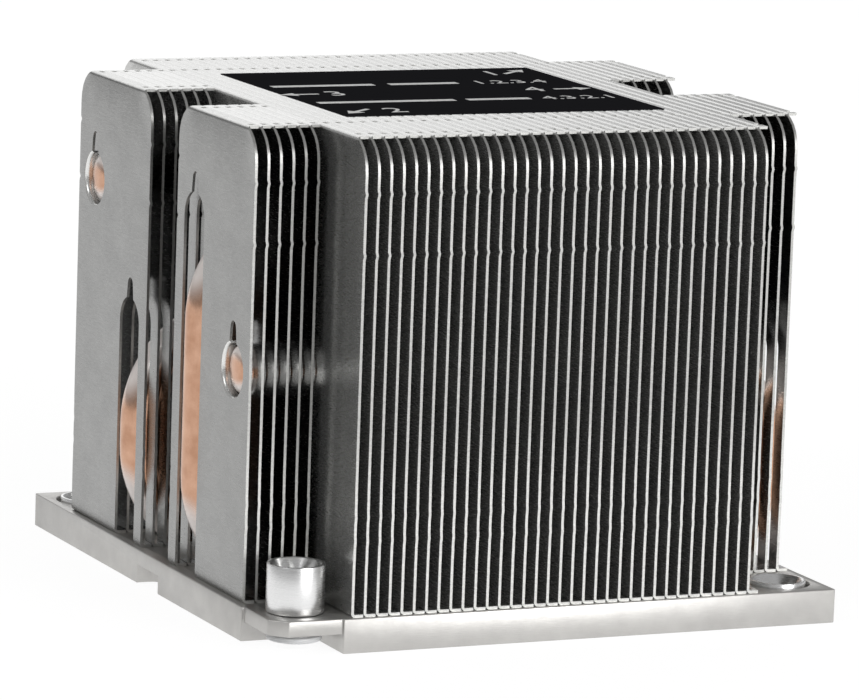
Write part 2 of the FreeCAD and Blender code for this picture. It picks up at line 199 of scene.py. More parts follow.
def mixColours(tree, share, first, second):
    # first is a colour or a socket, second a colour
    mix = tree.nodes.new("ShaderNodeMix")
    mix.data_type = "RGBA"
    if isinstance(first, tuple):
        mix.inputs["A"].default_value = (*first, 1)
    else:
        tree.links.new(first, mix.inputs["A"])
    mix.inputs["B"].default_value = (*second, 1)
    tree.links.new(share, mix.inputs["Factor"])
    return mix.outputs["Result"]


def steepness(tree, low, high):
    # how far a face looks up or down, from 0 at low to 1 at high
    facing = tree.nodes.new("ShaderNodeNewGeometry")
    axes = tree.nodes.new("ShaderNodeSeparateXYZ")
    slope = tree.nodes.new("ShaderNodeMath")
    slope.operation = "ABSOLUTE"
    tree.links.new(facing.outputs["Normal"], axes.inputs[0])
    tree.links.new(axes.outputs["Z"], slope.inputs[0])
    return mapRange(tree, slope.outputs[0], (low, high), (0, 1), "SMOOTHSTEP")


# metal is how metallic a finish is, and rough its roughness or the two ends of it. The grain gives the
# relief and the roughness, and the mottle gives the colour, from dark to light. Both are patterns of
# three scales and a detail. The relief is a height in metres and a strength.
finishes = {
    "cut_edge": {
        "metal": 0.75,
        "rough": 0.38,
        "grain": (900, 900, 5200, 2),
        "relief": (0.00003, 0.3),
        "mottle": (900, 900, 5200, 2),
        "dark": (0.35, 0.35, 0.34),
        "light": (0.44, 0.44, 0.425),
    },
    "milled_aluminium": {
        "metal": 0.85,
        "rough": (0.3, 0.46),
        "grain": (600, 9000, 14000, 2),
        "relief": (0.00004, 0.3),
        "mottle": (320, 320, 320, 4),
        "dark": (0.5, 0.49, 0.475),
        "light": (0.57, 0.56, 0.54),
    },
    "drawn_copper": {
        "rough": (0.13, 0.24),
        "grain": (5200, 5200, 700, 3),
        "relief": (0.00003, 0.25),
        "mottle": (420, 420, 420, 4),
        "dark": (0.48, 0.265, 0.17),
        "light": (0.64, 0.39, 0.27),
    },
    "polished_steel": {
        "metal": 1.0,
        "rough": (0.24, 0.34),
        "grain": (300, 300, 16000, 2),
        "relief": (0.00002, 0.06),
        "colour": (0.82, 0.82, 0.82),
    },
    "clear_nylon": {
        "metal": 0.0,
        "rough": (0.28, 0.42),
        "grain": (700, 700, 700, 3),
        "relief": (0.00003, 0.2),
        "colour": (0.96, 0.97, 0.98),
        "sockets": {"Transmission Weight": 0.2, "IOR": 1.5},
    },
    "label_film": {
        "metal": 0.0,
        "rough": (0.32, 0.44),
        "grain": (3800, 3800, 3800, 2),
        "relief": (0.00002, 0.25),
        "colour": (0.016, 0.016, 0.018),
        "sockets": {"Specular IOR Level": 0.0},
    },
    "label_print": {
        "metal": 0.0,
        "rough": 0.5,
        "grain": (2600, 2600, 2600, 2),
        "relief": (0.00001, 0.2),
        "mottle": (2600, 2600, 2600, 2),
        "dark": (0.6, 0.6, 0.6),
        "light": (0.78, 0.78, 0.77),
    },
}

# these are copies of one aluminium sheet; some carry a painted lighter tone
sheets = {  # tone of the web, metal, rough
    "rolled_aluminium": (0.31, 1.0, 0.3),
    # painted light: the full fins and collars take a copy of the sheet about twice as light as the outer
    # fins'
    "lit_copy_aluminium": (0.6, 0.88, 0.25),
    "inner_aluminium": (0.3, 1.0, 0.24),
    # painted highlight: the rim round each pipe tip is a copy of the sheet, far lighter than the fin it
    # belongs to
    "highlight_rim": (0.85, 0.9, 0.25),
}

sheetLook = {
    "rough": (0.8, 1.2),  # shares of the sheet's roughness, and of its tone
    "dark": (0.94, 0.94, 0.925),
    "light": (1.06, 1.06, 1.04),
    "grain": (9000, 900, 9000, 2),
    "relief": (0.00004, 0.25),
    "mottle": (260, 180, 260, 3),
    # painted highlight: faces that look up or down are mixed towards this colour
    "flange": (0.6, 0.6, 0.59),
    "flangeHighlightSlope": (0.4, 0.9),
}

# painted reflection: below the first height the cut edges grow lighter, up to the gain at the second
edgeFootLight = {"heights": (0.030, 0.015), "paintedGain": (1.0, 1.5)}  # heights in metres
# painted highlight: the pale colour and lower metal of pipe faces that look up or down
copperBendHighlight = {"colour": (1.0, 0.92, 0.88), "slope": (0.1, 0.36), "metal": (1.0, 0.1)}


def startMaterial(name, finish):
    material, tree, shader = plainMaterial(name)
    grain = stretchedNoise(tree, *finish["grain"])
    height, strength = finish["relief"]
    relief = tree.nodes.new("ShaderNodeBump")
    relief.inputs["Distance"].default_value = height
    relief.inputs["Strength"].default_value = strength
    tree.links.new(grain, relief.inputs["Height"])
    tree.links.new(relief.outputs["Normal"], shader.inputs["Normal"])
    if "metal" in finish:
        shader.inputs["Metallic"].default_value = finish["metal"]
    if isinstance(finish["rough"], tuple):
        tree.links.new(spread(tree, grain, *finish["rough"]), shader.inputs["Roughness"])
    else:
        shader.inputs["Roughness"].default_value = finish["rough"]
    if "mottle" in finish:
        share = spread(tree, stretchedNoise(tree, *finish["mottle"]), 0.0, 1.0)
        colour = mixColours(tree, share, finish["dark"], finish["light"])
        tree.links.new(colour, shader.inputs["Base Color"])
    else:
        shader.inputs["Base Color"].default_value = (*finish["colour"], 1)
    for socket, number in finish.get("sockets", {}).items():
        shader.inputs[socket].default_value = number
    return material, tree, shader


def overlay(tree, shader, share, colour):
    # another colour over the mottle, as far as the share goes
    base = shader.inputs["Base Color"]
    tree.links.new(mixColours(tree, share, base.links[0].from_socket, colour), base)


def rolledSheet(name):
    # fine rolling lines along the fin and a faint mottle; the flanges and other faces that look up or down
    # are painted lighter, a painted highlight
    tone, metal, rough = sheets[name]
    finish = {key: sheetLook[key] for key in ("grain", "relief", "mottle")}
    finish["metal"] = metal
    finish["rough"] = tuple(rough * share for share in sheetLook["rough"])
    for end in ("dark", "light"):
        finish[end] = tuple(tone * share for share in sheetLook[end])
    material, tree, shader = startMaterial(name, finish)
    # painted highlight: flanges and other faces that look up or down are made lighter
    overlay(tree, shader, steepness(tree, *sheetLook["flangeHighlightSlope"]), sheetLook["flange"])
    return material


def shearedEdge():
    # the freshly cut edge of the sheet, brighter than its faces, and painted up to half again as light near
    # the foot, a painted reflection of the floor
    material, tree, shader = startMaterial("cut_edge", finishes["cut_edge"])
    coordinate = tree.nodes.new("ShaderNodeTexCoord")
    axes = tree.nodes.new("ShaderNodeSeparateXYZ")
    tree.links.new(coordinate.outputs["Object"], axes.inputs[0])
    # painted reflection of the floor: lighter towards the foot
    paintedGain = mapRange(tree, axes.outputs["Z"], edgeFootLight["heights"], edgeFootLight["paintedGain"], "SMOOTHSTEP")
    scaled = tree.nodes.new("ShaderNodeVectorMath")
    scaled.operation = "SCALE"
    base = shader.inputs["Base Color"]
    tree.links.new(base.links[0].from_socket, scaled.inputs[0])
    tree.links.new(paintedGain, scaled.inputs["Scale"])
    tree.links.new(scaled.outputs["Vector"], base)
    return material


def drawnCopper():
    # drawn and wiped; where the bends face up or down they are painted paler and less metallic than the
    # straight legs, a painted highlight
    material, tree, shader = startMaterial("drawn_copper", finishes["drawn_copper"])
    # painted highlight on the bends
    bends = steepness(tree, *copperBendHighlight["slope"])
    overlay(tree, shader, bends, copperBendHighlight["colour"])
    tree.links.new(mapRange(tree, bends, (0, 1), copperBendHighlight["metal"]), shader.inputs["Metallic"])
    return material


def addPiece(name, mesh, material, body, smooth=30):
    # a finished mesh in metres becomes a piece that rides on its CAD body
    piece = newPiece(name, mesh)
    if material:
        mesh.materials.clear()
        mesh.materials.append(material)
    if smooth:
        mesh.shade_smooth()
        mesh.set_sharp_from_angle(angle=math.radians(smooth))
    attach(piece, body)
    return piece


def plainMesh(bm, name):
    mesh = bpy.data.meshes.new(name)
    bm.to_mesh(mesh)
    bm.free()
    return mesh


def meshFrom(bm, name):
    # a bmesh drawn in millimetres becomes a mesh in metres
    bm.transform(Matrix.Scale(mm, 4))
    return plainMesh(bm, name)


def evaluated(piece, name):
    # the piece with its modifiers applied, as a plain mesh. The piece itself goes.
    bpy.context.view_layer.update()
    graph = bpy.context.evaluated_depsgraph_get()
    mesh = bpy.data.meshes.new_from_object(piece.evaluated_get(graph))
    mesh.name = name
    bpy.data.objects.remove(piece)
    return mesh


def moved(mesh, x):
    mesh.transform(Matrix.Translation((x * mm, 0, 0)))
    return mesh


def joinMeshes(name, meshes):
    bm = bmesh.new()
    for mesh in meshes:
        bm.from_mesh(mesh)
        bpy.data.meshes.remove(mesh)
    return plainMesh(bm, name)


def ringLoops(bm, loops, closeEnds=False):
    # joins rings of points that all have the same count
    rows = [[bm.verts.new(point) for point in loop] for loop in loops]
    for low, high in zip(rows, rows[1:]):
        for index in range(len(low)):
            after = (index + 1) % len(low)
            bm.faces.new((low[index], low[after], high[after], high[index]))
    if closeEnds:
        bm.faces.new(list(reversed(rows[0])))
        bm.faces.new(rows[-1])
    return rows


def closedRound(loops, name):
    # a hoop of rings round an axis, of which the last lies on the first, as a mesh in metres
    mergeWithin = 1e-5
    bm = bmesh.new()
    ringLoops(bm, loops)
    bmesh.ops.remove_doubles(bm, verts=bm.verts, dist=mergeWithin)
    bmesh.ops.recalc_face_normals(bm, faces=bm.faces)
    return meshFrom(bm, name)


def levelRing(x, y, z, radius, count):
    # a level ring of points. The radius is a number, or a function of the angle.
    points = []
    for index in range(count):
        angle = 2 * math.pi * index / count
        reach = radius(angle) if callable(radius) else radius
        points.append((x + reach * math.cos(angle), y + reach * math.sin(angle), z))
    return points


def rowTree():
    # repeats its input along X, and gives the faces marked as cut edges their own material
    tree = bpy.data.node_groups.new("repeatAcross", "GeometryNodeTree")
    for name, kind in (("Geometry", "Geometry"), ("Count", "Int"), ("Pitch", "Float"),
                       ("Material", "Material"), ("Edge Material", "Material")):
        tree.interface.new_socket(name, in_out="INPUT", socket_type=f"NodeSocket{kind}")
    tree.interface.new_socket("Geometry", in_out="OUTPUT", socket_type="NodeSocketGeometry")
    source = tree.nodes.new("NodeGroupInput")
    result = tree.nodes.new("NodeGroupOutput")
    step = tree.nodes.new("ShaderNodeCombineXYZ")
    line = tree.nodes.new("GeometryNodeMeshLine")
    line.mode = "OFFSET"
    spots = tree.nodes.new("GeometryNodeInstanceOnPoints")
    real = tree.nodes.new("GeometryNodeRealizeInstances")
    dress = tree.nodes.new("GeometryNodeSetMaterial")
    dressEdges = tree.nodes.new("GeometryNodeSetMaterial")
    marked = tree.nodes.new("GeometryNodeInputNamedAttribute")
    marked.data_type = "BOOLEAN"
    marked.inputs["Name"].default_value = "cutEdge"
    for start, output, end, entry in (
        (source, "Pitch", step, "X"),
        (step, "Vector", line, "Offset"),
        (source, "Count", line, "Count"),
        (line, "Mesh", spots, "Points"),
        (source, "Geometry", spots, "Instance"),
        (spots, "Instances", real, "Geometry"),
        (real, "Geometry", dress, "Geometry"),
        (source, "Material", dress, "Material"),
        (dress, "Geometry", dressEdges, "Geometry"),
        (marked, "Attribute", dressEdges, "Selection"),
        (source, "Edge Material", dressEdges, "Material"),
        (dressEdges, "Geometry", result, "Geometry"),
    ):
        tree.links.new(start.outputs[output], end.inputs[entry])
    return tree


def repeatAcross(name, mesh, count, pitch, metal):
    # the mesh, in metres, repeated count times along X at a pitch in millimetres
    piece = newPiece(name, mesh)
    modifier = piece.modifiers.new("row", "NODES")
    modifier.node_group = acrossTree
    sockets = {item.name: item.identifier for item in acrossTree.interface.items_tree
               if item.in_out == "INPUT"}
    modifier[sockets["Count"]] = count
    modifier[sockets["Pitch"]] = pitch * mm
    modifier[sockets["Material"]] = metal
    modifier[sockets["Edge Material"]] = edgeMaterial
    return evaluated(piece, name)


fins = {
    "columns": 46,
    "sideColumns": 6,
    "sheet": 0.35,
    "bendRadius": 0.3,  # of the middle of the sheet
    "bendSteps": 3,
    "cornerRound": 4.3,
    "cornerSteps": 6,
    "cornerClear": 0.05,  # a point of the corner that is nearer than this to the bend is left out
    "flangeGap": 0.04,
    "edgeStrip": 0.9,
    "burrs": (52.7, 45.1),  # heights above the foot of the die marks on the front and rear edges
    "burrDepth": 0.13,
    "burrHalf": 0.5,
    "ripple": (6.5, 15.5),  # the zone near the foot where the edges are a little wavy
    "rippleStep": 1.5,
    "rippleDepth": 0.07,
    "rippleBack": 0.25,  # share of the depth at every other point
    "windows": (-36.2, -26.0, 26.0, 36.2),  # places of the tab windows in the full fins' top flanges
    "sideWindows": (4.4, 5.2),  # and in a side block's, from its outer end and from the middle gap
    "windowLength": 1.1,
    "windowInset": 0.62,
}

pipes = {
    "diameter": 6.0,
    "bend": 13.0,
    "rows": (  # node, place along Y, height of the upper leg, side of the bend
        ("heat_pipe_front_high", -10.8, 50.0, -1),
        ("heat_pipe_rear_low", 10.8, 33.0, -1),
        ("heat_pipe_front_low", -24.7, 33.0, 1),
        ("heat_pipe_rear_high", 24.7, 50.0, 1),
    ),
    "tipRecess": 0.3,
    "tipDome": 0.9,
    "domeAngles": (4, 15, 26, 38, 50, 62, 76, 90),
    "tipRun": 8.0,  # from the tip to the first ring of the straight leg
    "bendSteps": 18,
    "pressRun": 4.0,
    "pressSteps": 8,
    "flat": (7.4, 3.6, 1.6),  # width, height and corner of the pressed foot
    "flatSide": 2.2,  # how soon the corner's points reach the full width
    "overrun": 26.0,
    "footEnd": ((1.2, 1.0), (0.5, 0.93), (0.12, 0.78), (0.0, 0.6)),  # back from the end, share of the size
    "points": 40,
    "smooth": 50,
}

openings = {
    "slot": 6.8,
    "slit": 2.3,
    "slitLength": 2.9,
    "slitTip": (1.1, 0.8),  # the round tip's centre below the top and its radius, in half slits
    "slitSteps": 6,
    "tipHole": 7.3,
    "tipHoleSteps": 26,
    "hug": 0.05,  # room between a pipe and the inner fins round it
    "hugSteps": 24,
}

packLow, _ = boxOf("outer_fin_front_left")
finLow, finHigh = boxOf("fin_01")
secondLow, _ = boxOf("fin_02")
pitch = secondLow.x - finLow.x
packLeft = packLow.x
finFoot, finTop = finLow.z, finHigh.z
finFront, finRear = finLow.y, finHigh.y
sheet = fins["sheet"]
lowLine = finFoot + sheet / 2 + fins["bendRadius"]  # heights where the web meets its two bends
highLine = finTop - sheet / 2 - fins["bendRadius"]
sameHeight = 0.01  # heights that differ by less are taken as one


def endInset(z):
    # how far the rounded upper corner stands in from the fin's end at a height
    radius = fins["cornerRound"]
    over = z - (finTop - radius)
    if over <= 0:
        return 0.0
    return radius - math.sqrt(max(radius * radius - over * over, 0))


def arcPoints(centreY, centreZ, radius, first, last, steps):
    points = []
    for index in range(steps + 1):
        angle = math.radians(first + (last - first) * index / steps)
        points.append((centreY + radius * math.cos(angle), centreZ + radius * math.sin(angle)))
    return points


def slitTip(y, top, first, last):
    half = openings["slit"] / 2
    drop, tipRadius = openings["slitTip"]
    return arcPoints(y, top - half * drop, half * tipRadius, first, last, openings["slitSteps"])


def slotLoop(y, level):
    # a slot's edge from its left foot up and round to its right foot, with the slit on top
    side = openings["slot"] / 2
    shoulder = math.degrees(math.acos(openings["slit"] / 2 / side))
    steps = openings["slitSteps"]
    points = arcPoints(y, level, side, 180, 180 - shoulder, steps)
    points += slitTip(y, level + side + openings["slitLength"], 180, 0)
    points += arcPoints(y, level, side, shoulder, 0, steps)
    return points


def holeLoop(y, level, radius, slit):
    if not slit:
        return arcPoints(y, level, radius, 0, 360, openings["hugSteps"])[:-1]
    shoulder = math.degrees(math.acos(openings["slit"] / 2 / radius))
    points = arcPoints(y, level, radius, 180 - shoulder, 360 + shoulder, openings["tipHoleSteps"])
    points += slitTip(y, level + radius + openings["slitLength"], 0, 180)
    return points


def edgeShift(z, index):
    # how far a point of a free edge stands out of the fin's plane
    if any(abs(z - finFoot - burr) < sameHeight for burr in fins["burrs"]):
        return fins["burrDepth"]
    low, high = (finFoot + height for height in fins["ripple"])
    if low < z < high:
        step = round((z - low) / fins["rippleStep"])
        return fins["rippleDepth"] * (1 if (step + index) % 2 else fins["rippleBack"])
    return 0.0


def edgeHeights():
    # heights of the points on a fin's free edges, up to the rounded corner
    low, high = fins["ripple"]
    heights = [lowLine]
    z = finFoot + low
    while z <= finFoot + high + sameHeight:
        heights.append(z)
        z += fins["rippleStep"] / 2
    for burr in sorted(fins["burrs"]):
        heights += [finFoot + burr + step * fins["burrHalf"] for step in (-1, 0, 1)]
    return heights + [finTop - fins["cornerRound"]]


def freeEdge(bm, end, way):
    # a narrow strip of quads up one end of the fin, and the points of the rounded corner over it
    outer, inner, corner = [], [], []
    for index, z in enumerate(edgeHeights()):
        outer.append(bm.verts.new((edgeShift(z, index), end, z)))
        inner.append(bm.verts.new((0, end + way * fins["edgeStrip"], z)))
    radius = fins["cornerRound"]
    for step in range(1, fins["cornerSteps"] + 1):
        angle = math.radians(90 * step / fins["cornerSteps"])
        z = finTop - radius + radius * math.sin(angle)
        if z > highLine - fins["cornerClear"]:
            break
        corner.append(bm.verts.new((0, end + way * (radius - radius * math.cos(angle)), z)))
    corner.append(bm.verts.new((0, end + way * endInset(highLine), highLine)))
    for a, b, c, d in zip(outer, outer[1:], inner[1:], inner):
        bm.faces.new((a, b, c, d))
    return outer, inner, corner


def insideSheet(point, loops):
    # whether a point of the web lies within its outline and outside every hole
    inside = False
    for loop in loops:
        crossed = False
        for a, b in zip(loop, loop[1:] + loop[:1]):
            if (a.co.z > point.z) != (b.co.z > point.z):
                at = a.co.y + (point.z - a.co.z) / (b.co.z - a.co.z) * (b.co.y - a.co.y)
                if at > point.y:
                    crossed = not crossed
        inside = inside != crossed
    return inside


def fillWeb(bm, loops):
    # triangles between the web's outline, which is the first loop, and its holes
    flat, edges, order = [], [], []
    for loop in loops:
        start = len(flat)
        for index, vert in enumerate(loop):
            flat.append(Vector((vert.co.y, vert.co.z)))
            edges.append((start + index, start + (index + 1) % len(loop)))
            order.append(vert)
    trianglesInside, mergeWithin = 2, 1e-6
    _, _, faces, sources, _, _ = delaunay_2d_cdt(flat, edges, [], trianglesInside, mergeWithin)
    for face in faces:
        verts = [order[sources[index][0]] for index in face]
        centre = sum((vert.co for vert in verts), Vector()) / 3
        if insideSheet(centre, loops):
            bm.faces.new(verts)


def foldFlange(bm, line, level, way, ends, gaps, notches):
    # a bend and a flat flange from the web's edge line, away from the web. Gaps are left out of the
    # whole of it, notches only of the flange beyond the window inset.
    turn = fins["bendRadius"]
    offsets = []
    for step in range(1, fins["bendSteps"] + 1):
        angle = math.radians(90 * step / fins["bendSteps"])
        offsets.append((turn - turn * math.cos(angle), turn * math.sin(angle)))
    offsets += [(fins["windowInset"], turn), (pitch - fins["flangeGap"] - sheet / 2, turn)]
    rows = [line]
    for x, rise in offsets:
        z = level + way * rise
        places = [vert.co.y for vert in line]
        if way > 0:
            places[0] = ends[0] + endInset(z)
            places[-1] = ends[1] - endInset(z)
        rows.append([bm.verts.new((x, y, z)) for y in places])
    for low, high in zip(rows, rows[1:]):
        skipped = gaps + notches if high is rows[-1] else gaps
        for a in range(len(line) - 1):
            middle = (line[a].co.y + line[a + 1].co.y) / 2
            if not any(start < middle < end for start, end in skipped):
                bm.faces.new((low[a], low[a + 1], high[a + 1], high[a]))
    for vert in [vert for row in rows[1:] for vert in row if not vert.link_faces]:
        bm.verts.remove(vert)


def finSheet(front, rear, slots, holes, windows):
    # the middle surface of one folded fin at x = 0, in millimetres: web, two bends and two flanges.
    # slots and holes are (y, level) and (y, level, radius, slit) lists, windows are the places along
    # Y where the top flange is notched for the tabs of its neighbour. Slots and windows run from
    # front to rear.
    bm = bmesh.new()
    frontOuter, frontInner, frontCorner = freeEdge(bm, front, 1)
    rearOuter, rearInner, rearCorner = freeEdge(bm, rear, -1)

    # the web between the strips, with its slots and holes
    half = fins["windowLength"] / 2
    notches = [(place - half, place + half) for place in windows]
    topVerts = [bm.verts.new((0, y, highLine)) for notch in notches for y in notch]
    side = openings["slot"] / 2
    gaps = [(y - side, y + side) for y, _ in slots]
    slotEdges = []
    for (y, level), (left, right) in zip(slots, gaps):
        points = [(left, lowLine), *slotLoop(y, level), (right, lowLine)]
        slotEdges.append([bm.verts.new((0, *point)) for point in points])
    outline = [*frontInner, frontOuter[-1], *frontCorner, *topVerts,
               *reversed(rearCorner), rearOuter[-1], *reversed(rearInner)]
    for slotEdge in reversed(slotEdges):
        outline += reversed(slotEdge)
    rounds = [[bm.verts.new((0, *point)) for point in holeLoop(*hole)] for hole in holes]
    fillWeb(bm, [outline, *rounds])

    # the foot's line takes in the strips, so that it runs from one free edge to the other
    footVerts = [frontOuter[0], frontInner[0]]
    for slotEdge in slotEdges:
        footVerts += [slotEdge[0], slotEdge[-1]]
    footVerts += [rearInner[0], rearOuter[0]]
    foldFlange(bm, footVerts, lowLine, -1, (front, rear), gaps, [])
    foldFlange(bm, [frontCorner[-1], *topVerts, rearCorner[-1]], highLine, 1, (front, rear), [], notches)
    bmesh.ops.recalc_face_normals(bm, faces=bm.faces)
    return bm


def thickFin(name, front, rear, slots, holes, windows):
    # one fin with its sheet thickness, its cut edges in the second material. In metres.
    mesh = meshFrom(finSheet(front, rear, slots, holes, windows), name)
    piece = newPiece(name, mesh)
    mesh.materials.append(sheetMaterial)
    mesh.materials.append(edgeMaterial)
    thicken = piece.modifiers.new("sheet", "SOLIDIFY")
    thicken.thickness = sheet * mm
    thicken.offset = 0
    thicken.material_offset_rim = 1
    made = evaluated(piece, name)
    cut = made.attributes.new("cutEdge", "BOOLEAN", "FACE")
    for index, face in enumerate(made.polygons):
        cut.data[index].value = face.material_index == 1
    return made


def makeFullFins():
    columns, sides = fins["columns"], fins["sideColumns"]
    count = columns - 2 * sides
    one = thickFin("full_fin", finFront, finRear, [], [], fins["windows"])
    moved(one, packLeft + sheet / 2 + pitch * sides)
    row = repeatAcross("full_fins", one, count, pitch, litCopyMaterial)
    piece = addPiece("full_fins", row, None, "cooler")
    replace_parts(piece, *[f"fin_{index:02d}" for index in range(1, count + 1)])
    print("full fins:", count, "of", len(row.polygons), "faces in all")


def makeSideFins():
    sideLow, sideHigh = boxOf("side_fins_front_left")
    blockEnd, gapHalf = -sideLow.y, -sideHigh.y
    columns, sides = fins["columns"], fins["sideColumns"]
    fromEnd, fromGap = fins["sideWindows"]
    tip = openings["tipHole"] / 2
    hug = pipes["diameter"] / 2 + openings["hug"]
    webX = packLeft + sheet / 2
    blocks = (
        ("front", -blockEnd, -gapHalf, (-blockEnd + fromEnd, -gapHalf - fromGap)),
        ("rear", gapHalf, blockEnd, (gapHalf + fromGap, blockEnd - fromEnd)),
    )
    flanks = (("left", -1, 0, 1), ("right", 1, columns - 1, columns - sides))
    for side, sideWay, outermost, firstInner in flanks:
        for end, low, high, windows in blocks:
            slots = [(y, z) for _, y, z, bent in pipes["rows"] if bent == sideWay and low < y < high]
            legs = [(y, z) for _, y, z, bent in pipes["rows"] if bent != sideWay and low < y < high]
            inner = thickFin("side_fin", low, high, slots, [(y, z, hug, False) for y, z in legs], windows)
            moved(inner, webX + pitch * firstInner)
            name = f"side_fin_row_{end}_{side}"
            row = repeatAcross(name, inner, sides - 1, pitch, innerMaterial)
            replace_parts(addPiece(name, row, None, "cooler"), f"side_fins_{end}_{side}")
            cover = thickFin("outer_fin", low, high, slots, [(y, z, tip, True) for y, z in legs], windows)
            moved(cover, webX + pitch * outermost)
            piece = addPiece(f"end_fin_{end}_{side}", cover, None, "cooler")
            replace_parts(piece, f"outer_fin_{end}_{side}")
    print("side fins: 4 blocks of", sides)


collars = {
    "play": 0.06,  # between the pipe and the collar
    "wall": 0.28,
    "short": 0.12,  # how far a collar ends from the next fin
    "root": ((0.0, 0.3), (0.1, 0.1), (0.3, 0.0)),  # how far its root flares, by the depth along X
    "points": 28,
}


def makeCollars():
    # the short collars that each fin has round a pipe's upper leg, up to the next fin
    bore = pipes["diameter"] / 2 + collars["play"]
    outside = bore + collars["wall"]
    length = pitch - sheet - collars["short"]
    outline = [(x, outside + flare) for x, flare in collars["root"]]
    outline += [(length, outside), (length, bore), (0.0, bore), outline[0]]
    turns = [2 * math.pi * k / collars["points"] for k in range(collars["points"])]
    for node, y, z, bent in pipes["rows"]:
        loops = [[(x, y + r * math.cos(turn), z + r * math.sin(turn)) for turn in turns] for x, r in outline]
        one = closedRound(loops, "collar")
        # from the fin after the side block at the pipe's bend to the last but one at its tip
        first, last = fins["sideColumns"], fins["columns"] - 2
        if bent > 0:
            first, last = 1, fins["columns"] - 1 - fins["sideColumns"]
        moved(one, packLeft + sheet + pitch * first)
        row = repeatAcross(f"collars_{node}", one, last - first + 1, pitch, litCopyMaterial)
        addPiece(f"collars_{node}", row, None, "cooler")
    print("collars: 4 rows")


rims = {
    # the section, each point as its depth into the pack and how far it lies outside the tip hole's edge
    "section": ((0.0, 0.12), (0.06, -0.1), (0.28, -0.26), (0.6, -0.3), (1.25, -0.3),
                (1.25, -0.02), (0.5, -0.02), (0.34, 0.12)),
    "steps": 40,
    "smooth": 50,
}


def makeRims():
    # the collar of the outermost fin, turned inwards round each pipe's end and slit on top
    tip = openings["tipHole"] / 2
    half = math.degrees(math.asin(openings["slit"] / 2 / tip))
    steps = rims["steps"]
    for node, y, z, bent in pipes["rows"]:
        bm = bmesh.new()
        face = packLeft if bent > 0 else packLeft + pitch * (fins["columns"] - 1) + sheet
        rows = []
        for k in range(steps + 1):
            angle = math.radians(90 + half + (360 - 2 * half) * k / steps)
            across, up = math.cos(angle), math.sin(angle)
            rows.append([bm.verts.new((face + bent * depth, y + (tip + out) * across, z + (tip + out) * up))
                         for depth, out in rims["section"]])
        for a, b in zip(rows, rows[1:]):
            for k in range(len(a)):
                after = (k + 1) % len(a)
                bm.faces.new((a[k], a[after], b[after], b[k]))
        bm.faces.new(rows[0])
        bm.faces.new(list(reversed(rows[-1])))
        bmesh.ops.recalc_face_normals(bm, faces=bm.faces)
        addPiece(f"rim_{node}", meshFrom(bm, "rim"), rimHighlightMaterial, "cooler", rims["smooth"])
    print("rims: 4")


def pipeSection(blend):
    # points of the tube's section from round (blend 0) to flat (blend 1), in its own plane
    radius = pipes["diameter"] / 2
    across, thick, corner = pipes["flat"]
    points = []
    for k in range(pipes["points"]):
        angle = 2 * math.pi * k / pipes["points"]
        c, s = math.cos(angle), math.sin(angle)
        # the flat section is a rectangle with round corners
        flatPoint = Vector((corner * c, corner * s))
        flatPoint.x += math.copysign(across / 2 - corner, c) * min(1, abs(c) * pipes["flatSide"])
        if k % (pipes["points"] // 2):  # not at the two points that lie level with the middle
            flatPoint.y += math.copysign(thick / 2 - corner, s)
        points.append(Vector((radius * c, radius * s)).lerp(flatPoint, blend))
    return points


def pipeFrames(height, reach, plateTop):
    # the pipe's sections from its tip to the end of its foot, as centre, outward direction, share of
    # flatness and share of the full size, for a bend that reaches out to minus X
    radius, bend, dome = pipes["diameter"] / 2, pipes["bend"], pipes["tipDome"]
    floorZ = plateTop - pipes["flat"][1]
    footZ = floorZ + radius
    flatZ = floorZ + pipes["flat"][1] / 2
    bendEnd = reach - radius - bend
    tipX = abs(packLeft) - pipes["tipRecess"]
    up, down = Vector((0, 1)), Vector((0, -1))
    frames = []
    for degrees in pipes["domeAngles"]:
        angle = math.radians(degrees)
        centre = Vector((tipX - dome + dome * math.cos(angle), height))
        frames.append((centre, up, 0.0, math.sin(angle)))
    frames.append((Vector((tipX - pipes["tipRun"], height)), up, 0.0, 1.0))
    for first, centreZ in ((0, height - bend), (90, footZ + bend)):
        for step in range(pipes["bendSteps"] + 1):
            angle = math.radians(first + 90 * step / pipes["bendSteps"])
            centre = Vector((-bendEnd - bend * math.sin(angle), centreZ + bend * math.cos(angle)))
            frames.append((centre, Vector((-math.sin(angle), math.cos(angle))), 0.0, 1.0))
    for step in range(1, pipes["pressSteps"] + 1):
        share = step / pipes["pressSteps"]
        ease = share * share * (3 - 2 * share)
        centre = Vector((-bendEnd + pipes["pressRun"] * share, footZ + (flatZ - footZ) * ease))
        frames.append((centre, down, ease, 1.0))
    for back, shrink in pipes["footEnd"]:
        frames.append((Vector((pipes["overrun"] - back, flatZ)), down, 1.0, shrink))
    return frames


def makePipes():
    _, plateHigh = boxOf("base_plate")
    for node, y, height, side in pipes["rows"]:
        low, high = boxOf(node)
        loops = []
        for centre, out, blend, shrink in pipeFrames(height, high.x if side > 0 else -low.x, plateHigh.z):
            loop = []
            for point in pipeSection(blend):
                across, rise = point.x * shrink, point.y * shrink
                loop.append(((centre.x + out.x * rise) * -side, y + across, centre.y + out.y * rise))
            loops.append(loop)
        bm = bmesh.new()
        ringLoops(bm, loops, closeEnds=True)
        bmesh.ops.recalc_face_normals(bm, faces=bm.faces)
        mesh = meshFrom(bm, node)
        piece = addPiece(f"tube_{node}", mesh, copperMaterial, "cooler", pipes["smooth"])
        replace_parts(piece, node)
    print("heat pipes: 4")


plate = {
    "mergeWithin": 2e-6,  # metres
    "flatWithin": 1,  # degrees, between triangles of one face
    "edgeBreak": 0.14,
    "breakSegments": 2,
    "breakAngle": 40,
    "smooth": 35,
}


